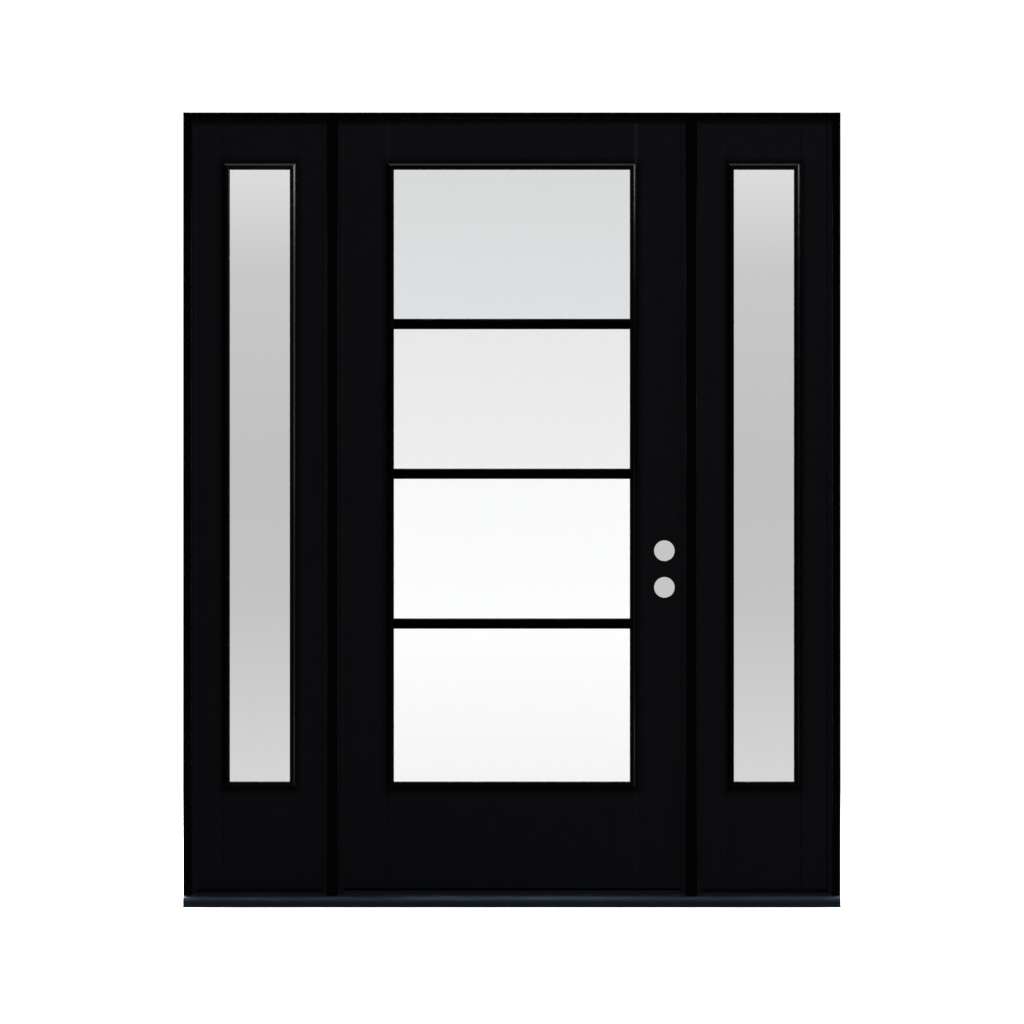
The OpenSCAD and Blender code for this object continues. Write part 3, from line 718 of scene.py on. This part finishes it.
# %% Moulded trim
def moulded_trim():
    material, tree, shader = start_finish("glazing_trim", Specular_IOR_Level=0.42)
    tone = (0.0020, 0.0021, 0.0025, 1)
    skin = use_group(tree, paint_skin, Tone=tone, Spread=0.2, Stipple=1400.0, Sheen=0.28)
    wear = use_group(tree, edge_wear, Width=0.5 * MM, Reach=0.38)
    worn = calc(tree, "MULTIPLY", wear.outputs["Mask"], 0.25)
    colour = blend_colours(tree, worn, skin.outputs["Colour"], (0.03, 0.03, 0.032, 1))
    dusty = use_group(tree, settled_dust, Amount=0.08).outputs["Mask"]
    colour = blend_colours(tree, dusty, colour, DUST)
    rough, height, soft = skin.outputs["Roughness"], skin.outputs["Height"], wear.outputs["Normal"]
    end_finish(tree, shader, colour, rough, height, 0.12, 0.05 * MM, soft)
    return material


glazing_trim = moulded_trim()
print("material:", glazing_trim.name)

# %% The bars across the door's glass, in the same plastic with a matt film
def bar_film():
    material, tree, shader = start_finish("bar_film", Specular_IOR_Level=0.10)
    tone = (0.0030, 0.0030, 0.0033, 1)
    skin = use_group(tree, paint_skin, Tone=tone, Spread=0.2, Stipple=1100.0, Sheen=0.58)
    wear = use_group(tree, edge_wear, Width=0.5 * MM, Reach=0.30)
    worn = calc(tree, "MULTIPLY", wear.outputs["Mask"], 0.3)
    colour = blend_colours(tree, worn, skin.outputs["Colour"], (0.012, 0.012, 0.013, 1))
    rough, height, soft = skin.outputs["Roughness"], skin.outputs["Height"], wear.outputs["Normal"]
    end_finish(tree, shader, colour, rough, height, 0.2, 0.05 * MM, soft)
    return material


bar_finish = bar_film()
print("material:", bar_finish.name)

# %% Dark composite
def dark_core():
    material, tree, shader = start_finish("dark_composite", Specular_IOR_Level=0.05)
    place = here(tree)
    flakes = put(tree, "TexVoronoi", {"Vector": place, "Scale": 700.0}).outputs["Color"]
    pick = put(tree, "SeparateColor", {0: flakes}).outputs["Red"]
    cloud = noise(tree, place, 30.0, 5.0)
    mixed = calc(tree, "MULTIPLY_ADD", pick, 0.4, calc(tree, "MULTIPLY", cloud, 0.6))
    tone = ramp(tree, mixed, [
        (0.25, (0.0028, 0.0028, 0.0032)), (0.55, (0.0042, 0.0042, 0.0050)), (0.9, (0.010, 0.010, 0.011))])
    dusty = use_group(tree, settled_dust, Amount=0.01).outputs["Mask"]
    rough = calc(tree, "MULTIPLY_ADD", cloud, 0.2, 0.5)
    end_finish(tree, shader, blend_colours(tree, dusty, tone, DUST), rough, mixed, 0.4, 0.08 * MM)
    return material


dark_composite = dark_core()
print("material:", dark_composite.name)

# %% Rubber seal
def seal_rubber():
    material, tree, shader = start_finish("black_seal", Specular_IOR_Level=0.25)
    place = here(tree)
    bloom = noise(tree, place, 55.0, 6.0)
    pores = noise(tree, place, 1600.0, 2.0)
    tone = ramp(tree, bloom, [(0.35, (0.004, 0.004, 0.004)), (0.7, (0.010, 0.010, 0.0105))])
    dusty = use_group(tree, settled_dust, Amount=0.3).outputs["Mask"]
    rough = calc(tree, "MULTIPLY_ADD", bloom, 0.25, 0.55)
    end_finish(tree, shader, blend_colours(tree, dusty, tone, DUST), rough, pores, 0.35, 0.05 * MM)
    return material


black_seal = seal_rubber()
print("material:", black_seal.name)

# %% Metals: the drawn deck, the coated hinges and the screws
def metal(name, tone, bright_tone, along, roughness, metallic, wear, coat, dust, fineness=900.0):
    material, tree, shader = start_finish(name, Specular_IOR_Level=0.5, Coat_Roughness=0.25)
    lines = use_group(tree, drawn_lines, Along=along, Fineness=fineness)
    streak = lines.outputs["Streak"]
    dark, pale = (tuple(gain * v for v in tone) + (1,) for gain in (0.80, 1.22))
    base = blend_colours(tree, streak, dark, pale)
    rubbed = use_group(tree, edge_wear, Width=0.6 * MM, Reach=0.5)
    worn = calc(tree, "MULTIPLY", rubbed.outputs["Mask"], wear)
    base = blend_colours(tree, worn, base, (*bright_tone, 1))
    dusty = use_group(tree, settled_dust, Amount=dust).outputs["Mask"]
    base = blend_colours(tree, dusty, base, DUST)
    rough = calc(tree, "MULTIPLY_ADD", calc(tree, "SUBTRACT", streak, 0.5), 0.25, roughness)
    rough = calc(tree, "MULTIPLY_ADD", dusty, 0.5, rough, clamp=True)
    bare = calc(tree, "SUBTRACT", 1.0, dusty)
    shine = calc(tree, "MULTIPLY", calc(tree, "MAXIMUM", worn, metallic), bare, clamp=True)
    tree.links.new(shine, shader.inputs["Metallic"])
    shader.inputs["Coat Weight"].default_value = coat
    height, soft = lines.outputs["Height"], rubbed.outputs["Normal"]
    end_finish(tree, shader, base, rough, height, 0.22, 0.04 * MM, soft)
    return material


ALONG_X = (0.02, 1.0, 1.0)
ALONG_Z = (1.0, 1.0, 0.03)
slate_deck = metal(
    "slate_deck", (0.150, 0.190, 0.250), (0.30, 0.33, 0.38), ALONG_X,
    roughness=0.32, metallic=1.0, wear=0.2, coat=0.0, dust=0.01)
hinge_metal = metal(
    "hinge_metal", (0.010, 0.010, 0.011), (0.20, 0.20, 0.20), ALONG_Z,
    roughness=0.42, metallic=0.15, wear=0.45, coat=0.15, dust=0.2)
screw_metal = metal(
    "screw_metal", (0.035, 0.035, 0.037), (0.30, 0.30, 0.30), (1.0, 1.0, 1.0),
    roughness=0.38, metallic=0.7, wear=0.7, coat=0.0, dust=0.1, fineness=1500.0)
print("metals:", slate_deck.name, hinge_metal.name, screw_metal.name)

# %% [markdown]
# ## Clear glass
#
# Each pane is real glass with thickness, so it bends and reflects light as glass does. A light
# that has to shine through solid glass makes a slow and noisy picture, so for shadow rays alone the
# glass is replaced by a plain see-through shader. The bump is very weak: float glass is flat, but
# a reflection in it wavers a little over a hand's width.

# %% Make the glass
def clear_pane():
    material, tree, shader = start_finish(
        "clear_glass", Base_Color=(0.99, 0.992, 0.992, 1), IOR=1.5, Transmission_Weight=1.0)
    place = here(tree)
    wave = noise(tree, place, 7.0, 1.0)
    film = noise(tree, place, 30.0, 7.0, 0.65)
    haze = put(tree, "MapRange", {0: film, 1: 0.45, 2: 0.75, 3: 0.0, 4: 0.03}).outputs[0]
    tree.links.new(haze, shader.inputs["Roughness"])
    bump = put(tree, "Bump", {"Height": wave, "Strength": 0.02, "Distance": 1 * MM})
    tree.links.new(bump.outputs["Normal"], shader.inputs["Normal"])
    clear = put(tree, "BsdfTransparent", {"Color": (0.93, 0.95, 0.94, 1)})
    shadow = put(tree, "LightPath").outputs["Is Shadow Ray"]
    either = put(tree, "MixShader", {0: shadow, 1: shader.outputs[0], 2: clear.outputs[0]})
    out = next(n for n in tree.nodes if n.type == "OUTPUT_MATERIAL")
    tree.links.new(either.outputs[0], out.inputs["Surface"])
    return material


clear_glass = clear_pane()
print("material:", clear_glass.name)

# %% [markdown]
# ## Give each solid its finish
#
# The record says which finish each solid has. Its material slots take the new material, and the
# meshes stay as they are. Only the two drilled uprights, the stops and the bars have a finish of
# their own.

# %% Dress the solids
FINISHES = {
    "slab_paint": slab_paint, "frame_paint": frame_paint, "glazing_trim": glazing_trim,
    "clear_glass": clear_glass, "slate_deck": slate_deck, "dark_composite": dark_composite,
    "hinge_metal": hinge_metal, "black_seal": black_seal,
}
OWN_FINISH = {
    "door_lock_stile": slab_paint_drilled, "right_mullion": frame_paint_drilled,
    "door_outside_bars": bar_finish, "door_inside_bars": bar_finish,
    "door_stops": stop_paint, "left_light_stops": stop_paint, "right_light_stops": stop_paint,
}

for part in frame["record"]["subparts"]:
    solid = frame["nodes"][part["node"]]
    finish = OWN_FINISH.get(part["node"], FINISHES[part["material_slot"]])
    if not solid.material_slots:
        solid.data.materials.append(finish)
    for holder in solid.material_slots:
        holder.material = finish

# %% [markdown]
# ## Building pieces from rings
#
# Nearly every fine piece of a door is a stack of outlines: a pane is a rectangle that shrinks at
# its two ground edges, a screw head is a circle that turns into a cross, a seal is one small
# section carried round a rectangle. So one helper joins rings of points into a closed skin, and
# the rest of the lesson only has to say where the rings are.

# %% Helper that joins rings into a closed mesh
SHARP_ANGLE = math.radians(30)


class Skin:
    def __init__(self):
        self.points, self.faces = [], []

    def stack(self, rings, looped=False):
        first, count = len(self.points), len(rings[0])
        for ring in rings:
            self.points += [tuple(p) for p in ring]
        spans = len(rings) if looped else len(rings) - 1
        for r in range(spans):
            low, high = first + r * count, first + (r + 1) % len(rings) * count
            for i in range(count):
                j = (i + 1) % count
                self.faces.append((low + i, low + j, high + j, high + i))
        if not looped:
            last = first + (len(rings) - 1) * count
            self.faces.append(tuple(range(first, first + count)))
            self.faces.append(tuple(range(last, last + count)))

    def piece(self, name, body, material):
        mesh = bpy.data.meshes.new(name)
        mesh.from_pydata(self.points, [], self.faces)
        shape = bmesh.new()
        shape.from_mesh(mesh)
        bmesh.ops.recalc_face_normals(shape, faces=shape.faces)
        shape.to_mesh(mesh)
        shape.free()
        mesh.shade_smooth()
        mesh.set_sharp_from_angle(angle=SHARP_ANGLE)
        mesh.materials.append(material)
        made = bpy.data.objects.new(name, mesh)
        scene.collection.objects.link(made)
        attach(made, body)
        print(f"{name}: {len(self.points)} points on {body}")
        return made


print("helper ready: Skin")

# %% [markdown]
# ## Sealed glass units
#
# Each light is a sealed unit: two panes, a black spacer between them near the edge, and a bead of
# sealant outside the spacer. The panes' edges are ground to a small bevel that catches light, and
# the spacer is bent round its corners. The three units have the same recipe, so a function makes
# one from the box of the solid that it stands for.

# %% Outlines of a rectangle in the plane of the glass
def square_ring(centre, w, h, inset, y, corner=0.0, steps=1):
    half_w, half_h = w / 2 - inset, h / 2 - inset
    bend = max(corner - inset, 0)
    ring = []
    for q, (sx, sz) in enumerate(((1, -1), (1, 1), (-1, 1), (-1, -1))):
        for s in range(steps):
            turn = math.radians(90 * (q - 1) + (90 * s / (steps - 1) if steps > 1 else 45))
            reach = bend if steps > 1 else 0
            ring.append((
                centre.x + sx * (half_w - bend * (steps > 1)) + reach * math.cos(turn), y,
                centre.z + sz * (half_h - bend * (steps > 1)) + reach * math.sin(turn)))
    return ring


def section_rings(centre, w, h, section, corner=0.0, steps=1):
    return [square_ring(centre, w, h, inset, y, corner, steps) for inset, y in section]


print("one corner ring:", square_ring(Vector((0, 0, 0)), 2, 1, 0, 0))

# %% Make the three glass units
LIGHT_BODIES = {"door": "door", "left_light": "frame", "right_light": "frame"}
PANE_T, GROUND = 4 * MM, 0.6 * MM
PANE_CORNER, PANE_STEPS = 2 * MM, 4
SPACER_IN, SPACER_W = 3 * MM, 7 * MM
SPACER_BEND, SPACER_STEPS = 14 * MM, 8


def glass_unit(name, body):
    low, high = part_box(name)
    centre = (low + high) / 2
    w, h = high.x - low.x, high.z - low.z
    panes = Skin()
    for near in (low.y, high.y - PANE_T):
        far = near + PANE_T
        panes.stack(section_rings(centre, w, h, [
            (GROUND, near), (0, near + GROUND), (0, far - GROUND), (GROUND, far)], PANE_CORNER, PANE_STEPS))
    made = panes.piece(name + "_panes", body, clear_glass)
    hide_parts(name)
    near, far = low.y + PANE_T, high.y - PANE_T
    inner = SPACER_IN + SPACER_W
    spacer = Skin()
    spacer.stack(section_rings(centre, w, h, [
        (SPACER_IN, near), (SPACER_IN, far), (inner - MM, far), (inner, far - MM),
        (inner, far - 3 * MM), (inner - 0.5 * MM, far - 4 * MM), (inner - 0.5 * MM, near + 4 * MM),
        (inner, near + 3 * MM), (inner, near + MM), (inner - MM, near)],
        SPACER_BEND, SPACER_STEPS), looped=True)
    spacer.piece(name + "_spacer", body, hinge_metal)
    sealant = Skin()
    sealant.stack(section_rings(centre, w, h, [
        (0.5 * MM, near), (0.9 * MM, (near + far) / 2), (0.5 * MM, far),
        (SPACER_IN, far), (SPACER_IN, near)], PANE_CORNER, PANE_STEPS), looped=True)
    sealant.piece(name + "_sealant", body, black_seal)


for light, light_body in LIGHT_BODIES.items():
    glass_unit(light + "_glass", light_body)

# %% [markdown]
# ## Glazing beads
#
# Where a moulding meets the glass, a thin bead of black sealant closes the joint. It is a quarter
# round of about a millimetre, run along the inner edge of each moulding on both faces. The joint is
# square at the corners, so the section is mitred there and not bent.

# %% Run the beads round each light
MOULDING_W = 15.5 * MM
BEAD = 0.9 * MM
BEAD_STEPS = 5
# The bead's back edge lies this far under the moulding
BEAD_UNDER = 0.3 * MM


def glazing_beads(name, body):
    glass_low, glass_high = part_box(name + "_glass")
    low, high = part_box(name + "_outside_moulding")
    centre = (low + high) / 2
    w, h = high.x - low.x - 2 * MOULDING_W, high.z - low.z - 2 * MOULDING_W
    beads = Skin()
    for face, out in ((glass_low.y, -1), (glass_high.y, 1)):
        arc = [math.radians(90 * i / BEAD_STEPS) for i in range(BEAD_STEPS + 1)]
        hollow = [(BEAD * (1 - math.sin(a)), face + out * BEAD * (1 - math.cos(a))) for a in arc]
        section = [(-BEAD_UNDER, face), *hollow, (-BEAD_UNDER, face + out * BEAD)]
        beads.stack(section_rings(centre, w, h, section), looped=True)
    beads.piece(name + "_glazing_beads", body, black_seal)


for light, light_body in LIGHT_BODIES.items():
    glazing_beads(light, light_body)

# %% [markdown]
# ## Screws and plugs
#
# The hinges are screwed through their leaves, four screws a leaf in a zigzag. Five broad screws
# in the threshold cap raise and lower it. The mouldings inside are screwed to the ones outside,
# and a small plug covers each of those screws. A round head with a cross in it is again a stack of
# rings, from the rim over the dome to the edge of the cross and down to its floor.

# %% A head with a cross recess, and a plain plug
HEAD_TURNS = 48
HEAD_SUNK = 0.3 * MM


def cross_reach(turn, arm, half_width):
    fold = abs((turn + math.pi / 4) % (math.pi / 2) - math.pi / 4)
    if math.tan(fold) < half_width / arm:
        return arm / math.cos(fold)
    return half_width / math.sin(fold)


def add_head(skin, place, facing, radius, height, cross=True, spin=0.0):
    facing = Vector(facing).normalized()
    side = facing.orthogonal().normalized()
    top = facing.cross(side)
    turns = [2 * math.pi * i / HEAD_TURNS for i in range(HEAD_TURNS)]
    ways = [side * math.cos(a + spin) + top * math.sin(a + spin) for a in turns]

    def ring(reach, rise):
        return [Vector(place) + way * reach(a) + facing * rise for a, way in zip(turns, ways)]

    rings = [ring(lambda a: radius, -HEAD_SUNK), ring(lambda a: radius, height * 0.3)]
    for part in (0.4, 0.75, 1.0):
        shrink = radius * (1 - 0.16 * part)
        rings.append(ring(lambda a: shrink, height * (0.3 + 0.7 * math.sin(math.pi / 2 * part))))
    if cross:
        arm, half = radius * 0.55, radius * 0.14
        rings.append(ring(lambda a: cross_reach(a, arm, half), height))
        rings.append(ring(lambda a: cross_reach(a, arm * 0.82, half * 0.7), height * 0.15))
    skin.stack(rings)


print("helper ready: add_head")

# %% Hinge screws on both leaves
HINGES = ("top", "middle", "bottom")
# Each screw's height from the middle of its hinge, and how far inwards it lies
ZIGZAG = ((38 * MM, 46 * MM), (13 * MM, 30 * MM), (-13 * MM, 46 * MM), (-38 * MM, 30 * MM))
LEAF_T = 2.5 * MM
SCREW_R, SCREW_H = 4.1 * MM, 0.4 * MM

for leaf, body, facing in (("frame_leaf", "frame", 1), ("door_leaf", "door", -1)):
    screws = Skin()
    for hinge in HINGES:
        low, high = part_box(f"{hinge}_hinge_{leaf}")
        middle = (low.z + high.z) / 2
        for n, (rise, depth) in enumerate(ZIGZAG):
            face = low.x + LEAF_T if facing > 0 else low.x
            place = (face, depth, middle + rise)
            add_head(screws, place, (facing, 0, 0), SCREW_R, SCREW_H, spin=0.5 * n)
    screws.piece(f"{leaf}_screws", body, screw_metal)

# %% Adjusting screws in the threshold cap
CAP_SCREWS = 5
CAP_SCREW_Y = 26.8 * MM
CAP_SCREW_R, CAP_SCREW_H = 6 * MM, 0.35 * MM
FIRST_SHARE, NEXT_SHARE = 0.06, 0.22

cap_low, cap_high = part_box("threshold_cap")
cap_screws = Skin()
for n in range(CAP_SCREWS):
    x = cap_low.x + (cap_high.x - cap_low.x) * (FIRST_SHARE + NEXT_SHARE * n)
    add_head(cap_screws, (x, CAP_SCREW_Y, cap_high.z), (0, 0, 1), CAP_SCREW_R, CAP_SCREW_H, spin=0.4 * n)
cap_screws.piece("threshold_cap_screws", "frame", screw_metal)

# %% Plugs in the mouldings on the inside
PLUG_R, PLUG_H = 2.7 * MM, 0.25 * MM
PLUG_FROM_EDGE = 11 * MM
PLUG_PITCH = 210 * MM


def moulding_plugs(name, body):
    low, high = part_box(name + "_inside_moulding")
    plugs = Skin()
    x0, x1 = low.x + PLUG_FROM_EDGE, high.x - PLUG_FROM_EDGE
    z0, z1 = low.z + PLUG_FROM_EDGE, high.z - PLUG_FROM_EDGE
    rows = round((z1 - z0) / PLUG_PITCH)
    spots = [(x, z0 + (z1 - z0) * (i + 0.5) / rows) for i in range(rows) for x in (x0, x1)]
    columns = max(round((x1 - x0) / PLUG_PITCH), 1)
    spots += [(x0 + (x1 - x0) * (i + 0.5) / columns, z) for i in range(columns) for z in (z0, z1)]
    for x, z in spots:
        add_head(plugs, (x, high.y, z), (0, 1, 0), PLUG_R, PLUG_H, cross=False)
    plugs.piece(name + "_moulding_plugs", body, glazing_trim)


for light, light_body in LIGHT_BODIES.items():
    moulding_plugs(light, light_body)
